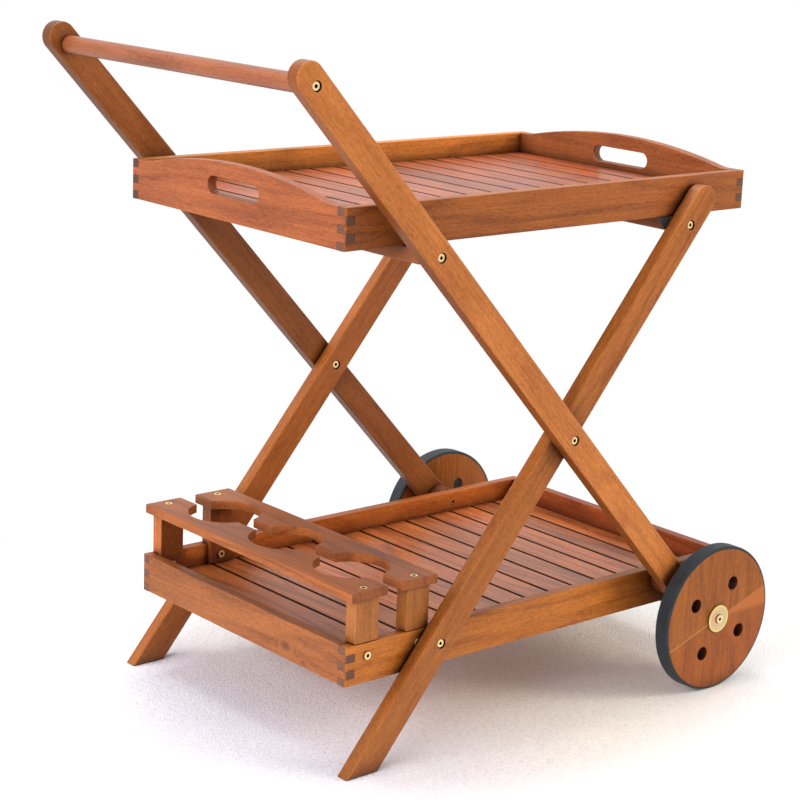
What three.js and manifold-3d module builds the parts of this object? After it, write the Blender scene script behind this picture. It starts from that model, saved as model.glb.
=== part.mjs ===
// A two-tier bar cart in oiled hardwood: crossed legs, two wooden wheels with rubber tyres,
// a push bar, a lift-off serving tray above and a fixed tray with a three-bottle rack below.
// Millimetres, +Z up. +X points from the push bar to the wheels, -Y is the near side.
// The origin is on the floor under the middle of the whole cart.
import * as THREE from 'three';
import { mergeVertices } from 'three/addons/utils/BufferGeometryUtils.js';
import Module from 'manifold-3d';

const wasm = await Module();
wasm.setup();

// Stances: heights are above the floor, reaches are measured along X from the leg pivot.
const pivot_height = 378.5;
const foot_reach = 311.8;
const axle_reach = 261.5;
const top_tray_height = 641;
const top_tray_offset = -8.6;
const lower_tray_height = 110;
const lower_tray_offset = 14.9;

// Legs and rails are planed from one stock.
const leg_width = 38;
const leg_thickness = 19;
const leg_arris = 2;
const handle_leg_rise = 657;
const handle_leg_drop = 26;
const short_leg_head = 58.6;
const handle_bolt_setback = 31;
const rail_width = 38;
const rail_thickness = 19;
const rail_arris = 2;
const handle_diameter = 22;

// Side clearances, from the trays outwards.
const tray_leg_clearance = 3.4;
const leg_gap = 0.6;
const wheel_leg_gap = 9.6;
const fit_gap = 0.3;

// Both trays share their boards and slats.
const tray_length = 680;
const tray_width = 430;
const board_height = 50.5;
const board_thickness = 14;
const board_arris = 1.4;
const corner_radius = 3;
const finger_count = 5;
const arch_rise = 20.5;
const arch_shoulder = 33;
const arch_cove = 60;
const slot_length = 103;
const slot_height = 21.6;
const slot_lift = 41;
const deck_lift = 22.5;
const slat_count = 15;
const slat_gap = 4.2;
const slat_thickness = 10;
const slat_arris = 1.2;
const batten_width = 18;
const batten_height = 11;
const batten_count = 2;
const deck_overlap = 0.5;
const tray_bolt_lift = 35;

// Bottle rack over the handle end of the lower tray.
const rack_height = 228;
const rack_overhang = 2;
const rack_bar_width = 56;
const rack_bar_thickness = 12;
const rack_bar_gap = 24;
const rack_bar_arris = 1.2;
const bottle_count = 3;
const bottle_hole_diameter = 96;
const bottle_end_land = 37;
const post_width = 36;
const post_end_clearance = 0.5;
const post_thickness = 19;
const post_setback = 1.5;
const post_arris = 1.2;

// Wheels on a fixed axle.
const wheel_diameter = 200;
const wheel_thickness = 21.8;
const tyre_wall = 3.7;
const tyre_round = 1.6;
const disc_arris = 1.2;
const disc_hole_diameter = 19;
const disc_hole_count = 4;
const disc_hole_circle = 104;
const disc_hole_turn = THREE.MathUtils.degToRad(60);
const axle_diameter = 12;
const bush_wall = 3;
const wheel_spacer_wall = 5;
const hub_washer_diameter = 38;
const hub_washer_thickness = 2;
const hub_head_diameter = 12;
const hub_head_height = 2;
const hub_thread_depth = 24;

// Brass bolts with hexagon sockets, sunk in counterbores.
const bolt_diameter = 6;
const bolt_head_diameter = 10.4;
const bolt_head_height = 3;
const counterbore_diameter = 12.8;
const counterbore_depth = 4.8;
const socket_width = 4.6;
const socket_sides = 6;
const socket_depth = 2;
const end_grain_bite = 36;
const tip_setback = 1;
const nut_thickness = 3;
const post_bolt_head_height = 2.4;
const post_nut_diameter = 10;
const post_nut_thickness = 2.5;
const tray_washer_diameter = 20;
const tray_spacer_diameter = 34;

// Painted steel angles in the corners between the wheel-end rail and the short legs.
const bracket_thickness = 2;
const bracket_height = 16;
const bracket_leaf = 24;
const bracket_toe = 8;
const bracket_rail_leaf = 14;

// Faces per round, and how far a cutter runs past what it cuts.
const round_faces = 12;
const curve_faces = 6;
const bar_faces = 20;
const wheel_faces = 40;
const leg_arris_steps = 2;
const arris_steps = 1;
const corner_steps = 2;
const cut_overrun = 5;

// Places worked out from the sizes above.
const tray_half = tray_width / 2;
const board_inner = tray_half - board_thickness;
const arch_reach = tray_half - arch_shoulder;
const rack_length = tray_width + 2 * rack_overhang;
const bottle_row = rack_length - 2 * bottle_end_land - bottle_hole_diameter;
const bottle_pitch = bottle_row / (bottle_count - 1);
const short_leg_inner = tray_half + tray_leg_clearance;
const short_leg_mid = short_leg_inner + leg_thickness / 2;
const short_leg_outer = short_leg_inner + leg_thickness;
const handle_leg_inner = short_leg_outer + leg_gap;
const handle_leg_mid = handle_leg_inner + leg_thickness / 2;
const handle_leg_outer = handle_leg_inner + leg_thickness;
const wheel_inner = handle_leg_outer + wheel_leg_gap;
const wheel_mid = wheel_inner + wheel_thickness / 2;
const wheel_outer = wheel_inner + wheel_thickness;
const wheel_radius = wheel_diameter / 2;
const axle_height = wheel_radius;
const rail_height = top_tray_height - fit_gap - rail_thickness / 2;
const tray_bolt_height = lower_tray_height + tray_bolt_lift;
const deck_height = lower_tray_height + deck_lift;
const bolt_bore = bolt_diameter + 2 * fit_gap;
const axle_bore = axle_diameter + 2 * fit_gap;

// Both legs of a side run through the pivot: up is a leg's direction, from its low end to its top.
const pivot = new THREE.Vector2(0, pivot_height);
const axle_point = new THREE.Vector2(axle_reach, axle_height);
const foot_point = new THREE.Vector2(-foot_reach, 0);
const handle_leg_up = pivot.clone().sub(axle_point).normalize();
const short_leg_up = pivot.clone().sub(foot_point).normalize();

function alongLeg(up, distance) {
  return up.clone().multiplyScalar(distance).add(pivot);
}

function onLegAtHeight(up, height) {
  return alongLeg(up, (height - pivot_height) / up.y);
}

const handle_point = alongLeg(handle_leg_up, handle_leg_rise - handle_bolt_setback);
const handle_rail_point = onLegAtHeight(handle_leg_up, rail_height);
const wheel_rail_point = onLegAtHeight(short_leg_up, rail_height);
const short_leg_tray_point = onLegAtHeight(short_leg_up, tray_bolt_height);
const handle_leg_tray_point = onLegAtHeight(handle_leg_up, tray_bolt_height);
const short_leg_rise = pivot.distanceTo(wheel_rail_point) + short_leg_head;

function finish(color, roughness, metalness) {
  return () => new THREE.MeshStandardMaterial({ color, roughness, metalness });
}

const legWood = finish(0xb5713c, 0.5, 0);
const boardWood = finish(0xa5603a, 0.5, 0);
const slatWood = finish(0x9c6247, 0.45, 0);
const rackWood = finish(0xb26a45, 0.5, 0);
const brass = finish(0xd9c987, 0.3, 1);
const steel = finish(0x9a9a98, 0.35, 1);
const paintedSteel = finish(0x2b2b2d, 0.5, 0.3);
const rubber = finish(0x303236, 0.8, 0);
const nylon = finish(0xe6e2d6, 0.5, 0);

// Joins and cuts work on closed solids whose shared corners are merged.
function solidOf(geometry) {
  const bare = geometry.clone();
  bare.deleteAttribute('normal');
  bare.deleteAttribute('uv');
  const merged = mergeVertices(bare);
  return new wasm.Manifold(new wasm.Mesh({
    numProp: 3,
    vertProperties: new Float32Array(merged.attributes.position.array),
    triVerts: new Uint32Array(merged.index.array),
  }));
}

function geometryOf(solid) {
  const { vertProperties, triVerts } = solid.getMesh();
  const geometry = new THREE.BufferGeometry();
  geometry.setAttribute('position', new THREE.BufferAttribute(vertProperties, 3));
  geometry.setIndex(new THREE.BufferAttribute(triVerts, 1));
  geometry.computeVertexNormals();
  return geometry;
}

function without(geometry, cutters) {
  const cut = cutters.reduce((solid, cutter) => solid.subtract(solidOf(cutter)), solidOf(geometry));
  return geometryOf(cut);
}

function common(...geometries) {
  return geometryOf(geometries.map(solidOf).reduce((a, b) => a.intersect(b)));
}

function fused(...geometries) {
  return geometryOf(geometries.map(solidOf).reduce((a, b) => a.add(b)));
}

// An outline pushed through its thickness, centred on it, with its arrises eased.
function plate(shape, thickness, arris = 0, steps = arris_steps) {
  const geometry = new THREE.ExtrudeGeometry(shape, {
    depth: thickness - 2 * arris,
    bevelEnabled: arris > 0,
    bevelThickness: arris,
    bevelSize: arris,
    bevelOffset: -arris,
    bevelSegments: steps,
    curveSegments: curve_faces,
  });
  return geometry.translate(0, 0, arris - thickness / 2);
}

// A side plate is drawn in X and Z, an end plate in Y and Z.
function sidePlate(...drawing) {
  return plate(...drawing).rotateX(Math.PI / 2);
}

function endPlate(...drawing) {
  return sidePlate(...drawing).rotateZ(Math.PI / 2);
}

function rectangle(left, bottom, right, top) {
  const shape = new THREE.Shape();
  shape.moveTo(left, bottom);
  shape.lineTo(right, bottom);
  shape.lineTo(right, top);
  shape.lineTo(left, top);
  return shape;
}

function roundPath(x, y, diameter) {
  return new THREE.Path().absarc(x, y, diameter / 2, 0, 2 * Math.PI, true);
}

// A round cutter along Y, from one depth to another.
function borer(point, diameter, from, to) {
  const length = Math.abs(to - from);
  const cutter = new THREE.CylinderGeometry(diameter / 2, diameter / 2, length, round_faces);
  return cutter.translate(point.x, (from + to) / 2, point.y);
}

// The bore of a bolt through a plate lying between two depths, with room for its sunk head.
function boltBore(point, inner, outer, side, head_at_inner = false) {
  const face = head_at_inner ? inner : outer;
  const outward = head_at_inner ? -1 : 1;
  const bore = borer(point, bolt_bore, side * (inner - cut_overrun), side * (outer + cut_overrun));
  const floor = face - outward * counterbore_depth;
  const sink = borer(point, counterbore_diameter, side * floor, side * (face + outward * cut_overrun));
  return [bore, sink];
}

// A ring or a disc turned on the Y axis from an outline of radius and place pairs.
function turned(outline, faces = round_faces) {
  const points = outline.map(([radius, place]) => new THREE.Vector2(radius, place));
  return new THREE.LatheGeometry(points, faces);
}

function ring(inner_diameter, outer_diameter, thickness) {
  const inner = inner_diameter / 2;
  const outer = outer_diameter / 2;
  const half = thickness / 2;
  return turned([[inner, -half], [outer, -half], [outer, half], [inner, half], [inner, -half]]);
}

const cart = new THREE.Group();

function add(parent, name, geometry, material, place = [0, 0, 0]) {
  const piece = new THREE.Mesh(geometry, material());
  piece.name = name;
  piece.position.set(...place);
  parent.add(piece);
  return piece;
}

const sides = [['near', -1], ['far', 1]];

// Leg outlines: a round top end, and below a round end or a foot cut flat on the floor.
function legOutline(up, rise, finishBelow) {
  const half = leg_width / 2;
  const across = new THREE.Vector2(up.y, -up.x);
  const top = alongLeg(up, rise - half);
  const turn = across.angle();
  const shape = new THREE.Shape();
  const lower = finishBelow(shape, across, half);
  shape.lineTo(top.x + across.x * half, top.y + across.y * half);
  shape.absarc(top.x, top.y, half, turn, turn + Math.PI, false);
  shape.lineTo(lower.x, lower.y);
  return shape;
}

function roundEnd(up, drop_from_pivot) {
  return (shape, across, half) => {
    const centre = alongLeg(up, -drop_from_pivot + half);
    const turn = across.angle();
    const start = centre.clone().addScaledVector(across, -half);
    shape.moveTo(start.x, start.y);
    shape.absarc(centre.x, centre.y, half, turn + Math.PI, turn + 2 * Math.PI, false);
    return start;
  };
}

function flatFoot(up) {
  return (shape, _, half) => {
    const run = half / up.y;
    shape.moveTo(foot_point.x - run, 0);
    shape.lineTo(foot_point.x + run, 0);
    return new THREE.Vector2(foot_point.x - run, 0);
  };
}

function handleLeg(side) {
  const drop = pivot.distanceTo(axle_point) + handle_leg_drop;
  const outline = legOutline(handle_leg_up, handle_leg_rise, roundEnd(handle_leg_up, drop));
  const blank = sidePlate(outline, leg_thickness, leg_arris, leg_arris_steps)
    .translate(0, side * handle_leg_mid, 0);
  const bolts = [pivot, handle_point, handle_rail_point, handle_leg_tray_point];
  const bores = bolts.flatMap((point) => boltBore(point, handle_leg_inner, handle_leg_outer, side));
  const inner = side * (handle_leg_inner - cut_overrun);
  const outer = side * (handle_leg_outer + cut_overrun);
  return without(blank, [...bores, borer(axle_point, axle_bore, inner, outer)]);
}

function shortLeg(side) {
  const outline = legOutline(short_leg_up, short_leg_rise, flatFoot(short_leg_up));
  const blank = sidePlate(outline, leg_thickness, leg_arris, leg_arris_steps)
    .translate(0, side * short_leg_mid, 0);
  const bolts = [wheel_rail_point, short_leg_tray_point];
  const bores = bolts.flatMap((point) => boltBore(point, short_leg_inner, short_leg_outer, side));
  const pivot_bore = boltBore(pivot, short_leg_inner, short_leg_outer, side, true);
  return without(blank, [...bores, ...pivot_bore]);
}

// A rail lies flat under the serving tray, with a blind bore in the end grain for each bolt.
function rail(point, half_length) {
  const section = rectangle(-rail_width / 2, -rail_thickness / 2, rail_width / 2, rail_thickness / 2);
  const blank = sidePlate(section, 2 * half_length, rail_arris).translate(point.x, 0, point.y);
  const bores = sides.map(([, side]) => (
    borer(point, bolt_bore, side * (half_length - end_grain_bite), side * (half_length + cut_overrun))
  ));
  return without(blank, bores);
}

function handleBar() {
  const half = handle_leg_inner - fit_gap;
  const ease = rail_arris;
  const radius = handle_diameter / 2;
  const bar = turned([[0, -half], [radius - ease, -half], [radius, ease - half],
    [radius, half - ease], [radius - ease, half], [0, half]], bar_faces);
  const centre = new THREE.Vector2();
  const bores = sides.map(([, side]) => (
    borer(centre, bolt_bore, side * (half - end_grain_bite), side * (half + cut_overrun))
  ));
  return without(bar, bores);
}

const shank = bolt_diameter / 2;

// A bolt lies along Y with the underside of its head at zero and its head towards +Y.
function headedPin(tip, head_diameter, head_height) {
  const head = head_diameter / 2;
  const body = turned([...tip, [shank, 0], [head, 0], [head, head_height], [0, head_height]]);
  const radius = socket_width / 2;
  const socket = new THREE.CylinderGeometry(radius, radius, 2 * socket_depth, socket_sides);
  return without(body, [socket.translate(0, head_height, 0)]);
}

function bolt(length, head_diameter = bolt_head_diameter, head_height = bolt_head_height) {
  return headedPin([[0, -length], [shank, -length]], head_diameter, head_height);
}

// The bolt of a rack post carries its own nut, whose inner face is at the grip length.
function nutBolt(grip) {
  const nut = post_nut_diameter / 2;
  const end = grip + post_nut_thickness;
  const tip = [[0, -end], [nut, -end], [nut, -grip], [shank, -grip]];
  return headedPin(tip, bolt_head_diameter, post_bolt_head_height);
}

function addBolt(name, geometry, point, seat, side) {
  const piece = add(cart, name, geometry, brass, [point.x, side * seat, point.y]);
  piece.rotation.z = side > 0 ? 0 : Math.PI;
}

function addLegs() {
  for (const [label, side] of sides) {
    add(cart, `handle_leg_${label}`, handleLeg(side), legWood);
    add(cart, `short_leg_${label}`, shortLeg(side), legWood);
  }
}

function addCrossPieces() {
  add(cart, 'handle_bar', handleBar(), legWood, [handle_point.x, 0, handle_point.y]);
  add(cart, 'handle_end_rail', rail(handle_rail_point, handle_leg_inner - fit_gap), boardWood);
  add(cart, 'wheel_end_rail', rail(wheel_rail_point, short_leg_inner - fit_gap), boardWood);
}

// Each leg bolt seats on the floor of its counterbore.
function addLegBolts() {
  const handle_seat = handle_leg_outer - counterbore_depth + fit_gap;
  const short_seat = short_leg_outer - counterbore_depth + fit_gap;
  const into_handle = handle_seat - handle_leg_inner + end_grain_bite - tip_setback;
  const into_rail = short_seat - short_leg_inner + end_grain_bite - tip_setback;
  const through_legs = handle_seat - short_leg_inner - tip_setback;
  const short_leg_to_tray = short_seat - board_inner - tip_setback;
  const handle_leg_to_tray = handle_seat - board_inner - tip_setback;
  for (const [label, side] of sides) {
    addBolt(`pivot_bolt_${label}`, bolt(through_legs), pivot, handle_seat, side);
    addBolt(`handle_bolt_${label}`, bolt(into_handle), handle_point, handle_seat, side);
    addBolt(`handle_rail_bolt_${label}`, bolt(into_handle), handle_rail_point, handle_seat, side);
    addBolt(`wheel_rail_bolt_${label}`, bolt(into_rail), wheel_rail_point, short_seat, side);
    addBolt(`short_leg_tray_bolt_${label}`, bolt(short_leg_to_tray), short_leg_tray_point,
      short_seat, side);
    addBolt(`handle_leg_tray_bolt_${label}`, bolt(handle_leg_to_tray), handle_leg_tray_point,
      handle_seat, side);
    const nut_place = short_leg_inner + counterbore_depth - fit_gap - nut_thickness / 2;
    add(cart, `pivot_nut_${label}`, ring(bolt_bore, bolt_head_diameter, nut_thickness), brass,
      [pivot.x, side * nut_place, pivot.y]);
  }
}

// What keeps the lower tray at its distance from the legs.
function addTraySpacers() {
  const washer = ring(bolt_bore, tray_washer_diameter, tray_leg_clearance - 2 * fit_gap);
  const spacer = ring(bolt_bore, tray_spacer_diameter, handle_leg_inner - tray_half - 2 * fit_gap);
  const washer_mid = (tray_half + short_leg_inner) / 2;
  const spacer_mid = (tray_half + handle_leg_inner) / 2;
  for (const [label, side] of sides) {
    add(cart, `tray_washer_${label}`, washer, nylon,
      [short_leg_tray_point.x, side * washer_mid, short_leg_tray_point.y]);
    add(cart, `tray_spacer_${label}`, spacer, legWood,
      [handle_leg_tray_point.x, side * spacer_mid, handle_leg_tray_point.y]);
  }
}

// A steel angle: a tapered leaf against the short leg and a square leaf against the rail.
function railBracket(side) {
  const top = rail_height + rail_thickness / 2 - fit_gap;
  const bottom = top - bracket_height;
  const rail_face = wheel_rail_point.x - rail_width / 2 - fit_gap;
  const leg_face = short_leg_inner - fit_gap;
  const leaf = new THREE.Shape();
  leaf.moveTo(rail_face - bracket_toe, bottom);
  leaf.lineTo(rail_face, bottom);
  leaf.lineTo(rail_face, top);
  leaf.lineTo(rail_face - bracket_leaf, top);
  const leg_leaf = sidePlate(leaf, bracket_thickness);
  leg_leaf.translate(0, side * (leg_face - bracket_thickness / 2), 0);
  const near_edge = side * (leg_face - bracket_rail_leaf);
  const far_edge = side * leg_face;
  const square = rectangle(Math.min(near_edge, far_edge), bottom, Math.max(near_edge, far_edge), top);
  const rail_leaf = endPlate(square, bracket_thickness);
  rail_leaf.translate(rail_face - bracket_thickness / 2, 0, 0);
  return fused(leg_leaf, rail_leaf);
}

function addBrackets() {
  for (const [label, side] of sides) {
    add(cart, `rail_bracket_${label}`, railBracket(side), paintedSteel);
  }
}

// Fingers interlock at the corners: the out fingers reach the far face of the other board.
function fingerOutline(reach, firstOut, drawTop) {
  const step = board_height / finger_count;
  const inset = reach - board_thickness - fit_gap;
  const isOut = (index) => (index % 2 === 0) === firstOut;
  const edge = [];
  for (let index = 0; index < finger_count; index += 1) {
    const end = isOut(index) ? reach : inset;
    const lift = isOut(index) ? fit_gap / 2 : -fit_gap / 2;
    const low = index === 0 ? 0 : index * step + lift;
    const high = index === finger_count - 1 ? board_height : (index + 1) * step - lift;
    edge.push([end, low], [end, high]);
  }
  const shape = new THREE.Shape();
  shape.moveTo(-edge[0][0], 0);
  edge.forEach(([across, up]) => shape.lineTo(across, up));
  drawTop(shape);
  edge.reverse().forEach(([across, up]) => shape.lineTo(-across, up));
  return shape;
}

// The top edge of an end board: level shoulders, a cove each side and one shallow arch.
function drawArch(shape) {
  const crown = board_height + arch_rise;
  const radius = (arch_reach * arch_reach + arch_rise * arch_rise) / (2 * arch_rise);
  const centre = crown - radius;
  const cove_height = board_height + arch_cove;
  const cove_place = Math.sqrt((radius + arch_cove) ** 2 - (cove_height - centre) ** 2);
  const swing = Math.atan2(cove_place, cove_height - centre);
  const down = -Math.PI / 2;
  shape.lineTo(cove_place, board_height);
  shape.absarc(cove_place, cove_height, arch_cove, down, down - swing, true);
  shape.absarc(0, centre, radius, -down - swing, -down + swing, false);
  shape.absarc(-cove_place, cove_height, arch_cove, down + swing, down, true);
}

function handSlot() {
  const radius = slot_height / 2;
  const reach = slot_length / 2 - radius;
  const slot = new THREE.Path();
  slot.moveTo(-reach, slot_lift - radius);
  slot.absarc(-reach, slot_lift, radius, -Math.PI / 2, Math.PI / 2, true);
  slot.absarc(reach, slot_lift, radius, Math.PI / 2, -Math.PI / 2, true);
  return slot;
}

// All boards of a tray are trimmed to one outer block with rounded upright corners.
function trayBlock() {
  const x = tray_length / 2 - corner_radius;
  const y = tray_half - corner_radius;
  const plan = new THREE.Shape();
  plan.absarc(x, y, corner_radius, 0, Math.PI / 2, false);
  plan.absarc(-x, y, corner_radius, Math.PI / 2, Math.PI, false);
  plan.absarc(-x, -y, corner_radius, Math.PI, 1.5 * Math.PI, false);
  plan.absarc(x, -y, corner_radius, 1.5 * Math.PI, 2 * Math.PI, false);
  const height = board_height + arch_rise + 2 * cut_overrun;
  return new THREE.ExtrudeGeometry(plan, {
    depth: height,
    bevelEnabled: false,
    curveSegments: corner_steps,
  }).translate(0, 0, -cut_overrun);
}

function sideBoard(side) {
  const reach = tray_length / 2;
  const fingers = sidePlate(fingerOutline(reach, true, () => {}), board_thickness);
  const eased = rectangle(-reach - cut_overrun, 0, reach + cut_overrun, board_height);
  const place = side * (tray_half - board_thickness / 2);
  const blank = sidePlate(eased, board_thickness, board_arris);
  return common(fingers.translate(0, place, 0), blank.translate(0, place, 0), trayBlock());
}

function endBoard(end, drawTop, slot) {
  const fingers = endPlate(fingerOutline(tray_half, false, drawTop), board_thickness);
  const reach = tray_half + cut_overrun;
  const eased = new THREE.Shape();
  eased.moveTo(-reach, 0);
  eased.lineTo(reach, 0);
  eased.lineTo(reach, board_height);
  drawTop(eased);
  eased.lineTo(-reach, board_height);
  if (slot) {
    eased.holes.push(slot);
  }
  const place = end * (tray_length / 2 - board_thickness / 2);
  const blank = endPlate(eased, board_thickness, board_arris);
  return common(fingers.translate(place, 0, 0), blank.translate(place, 0, 0), trayBlock());
}

// Slats across the tray, fused with the battens that carry them.
function deck() {
  const run = tray_length - 2 * board_thickness - 2 * fit_gap;
  const slat_width = (run - (slat_count - 1) * slat_gap) / slat_count;
  const slat_length = 2 * (board_inner - fit_gap);
  const bottom = deck_lift - slat_thickness;
  const half = slat_width / 2;
  const section = new THREE.Shape();
  section.moveTo(-half, bottom);
  section.lineTo(half, bottom);
  section.lineTo(half, deck_lift - slat_arris);
  section.lineTo(half - slat_arris, deck_lift);
  section.lineTo(slat_arris - half, deck_lift);
  section.lineTo(-half, deck_lift - slat_arris);
  const pieces = [];
  for (let index = 0; index < slat_count; index += 1) {
    const place = -run / 2 + half + index * (slat_width + slat_gap);
    pieces.push(sidePlate(section, slat_length).translate(place, 0, 0));
  }
  const batten_top = bottom + deck_overlap;
  const batten_place = board_inner - fit_gap - batten_width / 2;
  for (let index = 0; index < batten_count; index += 1) {
    const place = -batten_place + (2 * batten_place * index) / (batten_count - 1);
    const low = place - batten_width / 2;
    const bar = endPlate(rectangle(low, batten_top - batten_height, low + batten_width, batten_top), run);
    pieces.push(bar);
  }
  return fused(...pieces);
}

function boredBoard(geometry, points, side) {
  const inner = side * (board_inner - cut_overrun);
  const outer = side * (tray_half + cut_overrun);
  return without(geometry, points.map((point) => borer(point, bolt_bore, inner, outer)));
}

// The serving tray lifts off the rails; its end boards are arched and have hand slots.
function addTopTray() {
  const tray = new THREE.Group();
  tray.position.set(top_tray_offset, 0, top_tray_height);
  for (const [label, side] of sides) {
    add(tray, `top_side_board_${label}`, sideBoard(side), boardWood);
  }
  add(tray, 'top_end_board_handle', endBoard(-1, drawArch, handSlot()), boardWood);
  add(tray, 'top_end_board_wheel', endBoard(1, drawArch, handSlot()), boardWood);
  add(tray, 'top_deck', deck(), slatWood);
  cart.add(tray);
}

// The first pair of posts stands against the end board, and its bar is centred on it.
const first_post = lower_tray_offset - tray_length / 2 + board_thickness + post_end_clearance;
const first_bar = first_post + post_width / 2;
const rack_bars = [
  { label: 'handle', end: -1, x: first_bar },
  { label: 'wheel', end: 1, x: first_bar + rack_bar_width + rack_bar_gap },
];

function inLowerTray(point) {
  return new THREE.Vector2(point.x - lower_tray_offset, point.y - lower_tray_height);
}

function addLowerTray() {
  const tray = new THREE.Group();
  tray.position.set(lower_tray_offset, 0, lower_tray_height);
  const posts = rack_bars.map(({ x }) => new THREE.Vector2(x, tray_bolt_height));
  const bolts = [short_leg_tray_point, handle_leg_tray_point, ...posts].map(inLowerTray);
  for (const [label, side] of sides) {
    add(tray, `lower_side_board_${label}`, boredBoard(sideBoard(side), bolts, side), boardWood);
  }
  const levelTop = () => {};
  add(tray, 'lower_end_board_handle', endBoard(-1, levelTop), boardWood);
  add(tray, 'lower_end_board_wheel', endBoard(1, levelTop), boardWood);
  add(tray, 'lower_deck', deck(), slatWood);
  cart.add(tray);
}

// A rack bar is cut by the bottle holes, which stand over the gap between the two bars.
function rackBar(end) {
  const half = rack_length / 2;
  const inner = -end * (rack_bar_width / 2);
  const outer = -inner;
  const radius = bottle_hole_diameter / 2;
  const depth = rack_bar_gap / 2;
  const bite = Math.sqrt(radius * radius - depth * depth);
  const swing = Math.asin(depth / radius);
  const hole_x = inner - end * depth;
  const shape = new THREE.Shape();
  shape.moveTo(outer, -half);
  shape.lineTo(inner, -half);
  for (let index = 0; index < bottle_count; index += 1) {
    const y = (index - (bottle_count - 1) / 2) * bottle_pitch;
    const middle = end > 0 ? 0 : Math.PI;
    const start = middle - end * (Math.PI / 2 - swing);
    const stop = middle + end * (Math.PI / 2 - swing);
    shape.lineTo(inner, y - bite);
    shape.absarc(hole_x, y, radius, start, stop, end < 0);
  }
  shape.lineTo(inner, half);
  shape.lineTo(outer, half);
  return plate(shape, rack_bar_thickness, rack_bar_arris);
}

// A post has a shoulder on the tray's side board and a lap inside it that takes the bolt.
function rackPost(side, x) {
  const outer = tray_half - post_setback;
  const inner = outer - post_thickness;
  const lap = board_inner - fit_gap;
  const shoulder = lower_tray_height + board_height + fit_gap;
  const foot = deck_height + fit_gap;
  const top = rack_height - rack_bar_thickness - fit_gap;
  const shape = new THREE.Shape();
  shape.moveTo(side * inner, foot);
  shape.lineTo(side * lap, foot);
  shape.lineTo(side * lap, shoulder);
  shape.lineTo(side * outer, shoulder);
  shape.lineTo(side * outer, top);
  shape.lineTo(side * inner, top);
  const blank = endPlate(shape, post_width, post_arris).translate(x, 0, 0);
  const point = new THREE.Vector2(x, tray_bolt_height);
  const bore = borer(point, bolt_bore, side * (inner - cut_overrun), side * (lap + cut_overrun));
  return without(blank, [bore]);
}

function addRack() {
  const seat = tray_half + fit_gap;
  const lap_face = tray_half - post_setback - post_thickness - fit_gap;
  for (const { label, end, x } of rack_bars) {
    add(cart, `rack_bar_${label}`, rackBar(end), rackWood, [x, 0, rack_height - rack_bar_thickness / 2]);
    for (const [side_label, side] of sides) {
      add(cart, `rack_post_${label}_${side_label}`, rackPost(side, x), rackWood);
      const point = new THREE.Vector2(x, tray_bolt_height);
      addBolt(`rack_post_bolt_${label}_${side_label}`, nutBolt(seat - lap_face), point, seat, side);
    }
  }
}

function wheelDisc() {
  const disc_diameter = wheel_diameter - 2 * tyre_wall;
  const bore = axle_bore + 2 * (bush_wall + fit_gap);
  const shape = new THREE.Shape();
  const step = (2 * Math.PI) / wheel_faces;
  for (let index = 0; index < wheel_faces; index += 1) {
    const x = (disc_diameter / 2) * Math.cos(index * step);
    const y = (disc_diameter / 2) * Math.sin(index * step);
    if (index === 0) {
      shape.moveTo(x, y);
    } else {
      shape.lineTo(x, y);
    }
  }
  shape.holes.push(roundPath(0, 0, bore));
  for (let index = 0; index < disc_hole_count; index += 1) {
    const turn = disc_hole_turn + (2 * Math.PI * index) / disc_hole_count;
    const reach = disc_hole_circle / 2;
    shape.holes.push(roundPath(reach * Math.cos(turn), reach * Math.sin(turn), disc_hole_diameter));
  }
  return sidePlate(shape, wheel_thickness, disc_arris);
}

function tyre() {
  const outer = wheel_radius;
  const inner = wheel_radius - tyre_wall + fit_gap;
  const half = wheel_thickness / 2;
  return turned([[inner, -half], [outer - tyre_round, -half], [outer, tyre_round - half],
    [outer, half - tyre_round], [outer - tyre_round, half], [inner, half], [inner, -half]], wheel_faces);
}

function addWheels() {
  const bush_diameter = axle_bore + 2 * bush_wall;
  for (const [label, side] of sides) {
    const wheel = new THREE.Group();
    wheel.position.set(axle_reach, side * wheel_mid, axle_height);
    add(wheel, `wheel_disc_${label}`, wheelDisc(), rackWood);
    add(wheel, `tyre_${label}`, tyre(), rubber);
    add(wheel, `wheel_bush_${label}`, ring(axle_bore, bush_diameter, wheel_thickness), nylon);
    cart.add(wheel);
  }
}

// The axle is fixed in the legs; a washer and a short bolt in each end keep the wheels on.
function addAxle() {
  const half = wheel_outer;
  const radius = axle_diameter / 2;
  const rod = turned([[0, -half], [radius, -half], [radius, half], [0, half]]);
  const centre = new THREE.Vector2();
  const threads = sides.map(([, side]) => (
    borer(centre, bolt_bore, side * (half - hub_thread_depth), side * (half + cut_overrun))
  ));
  add(cart, 'axle', without(rod, threads), steel, [axle_reach, 0, axle_height]);
  const washer = ring(bolt_bore, hub_washer_diameter, hub_washer_thickness);
  const spacer_length = wheel_leg_gap - 2 * fit_gap;
  const spacer = ring(axle_bore, axle_bore + 2 * wheel_spacer_wall, spacer_length);
  const washer_mid = wheel_outer + fit_gap + hub_washer_thickness / 2;
  const seat = wheel_outer + hub_washer_thickness + 2 * fit_gap;
  const length = seat - wheel_outer + hub_thread_depth - tip_setback;
  for (const [label, side] of sides) {
    add(cart, `wheel_spacer_${label}`, spacer, nylon,
      [axle_reach, side * (handle_leg_outer + wheel_leg_gap / 2), axle_height]);
    add(cart, `hub_washer_${label}`, washer, brass, [axle_reach, side * washer_mid, axle_height]);
    const hub_bolt = bolt(length, hub_head_diameter, hub_head_height);
    addBolt(`hub_bolt_${label}`, hub_bolt, axle_point, seat, side);
  }
}

addLegs();
addCrossPieces();
addLegBolts();
addTraySpacers();
addBrackets();
addTopTray();
addLowerTray();
addRack();
addWheels();
addAxle();

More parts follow.
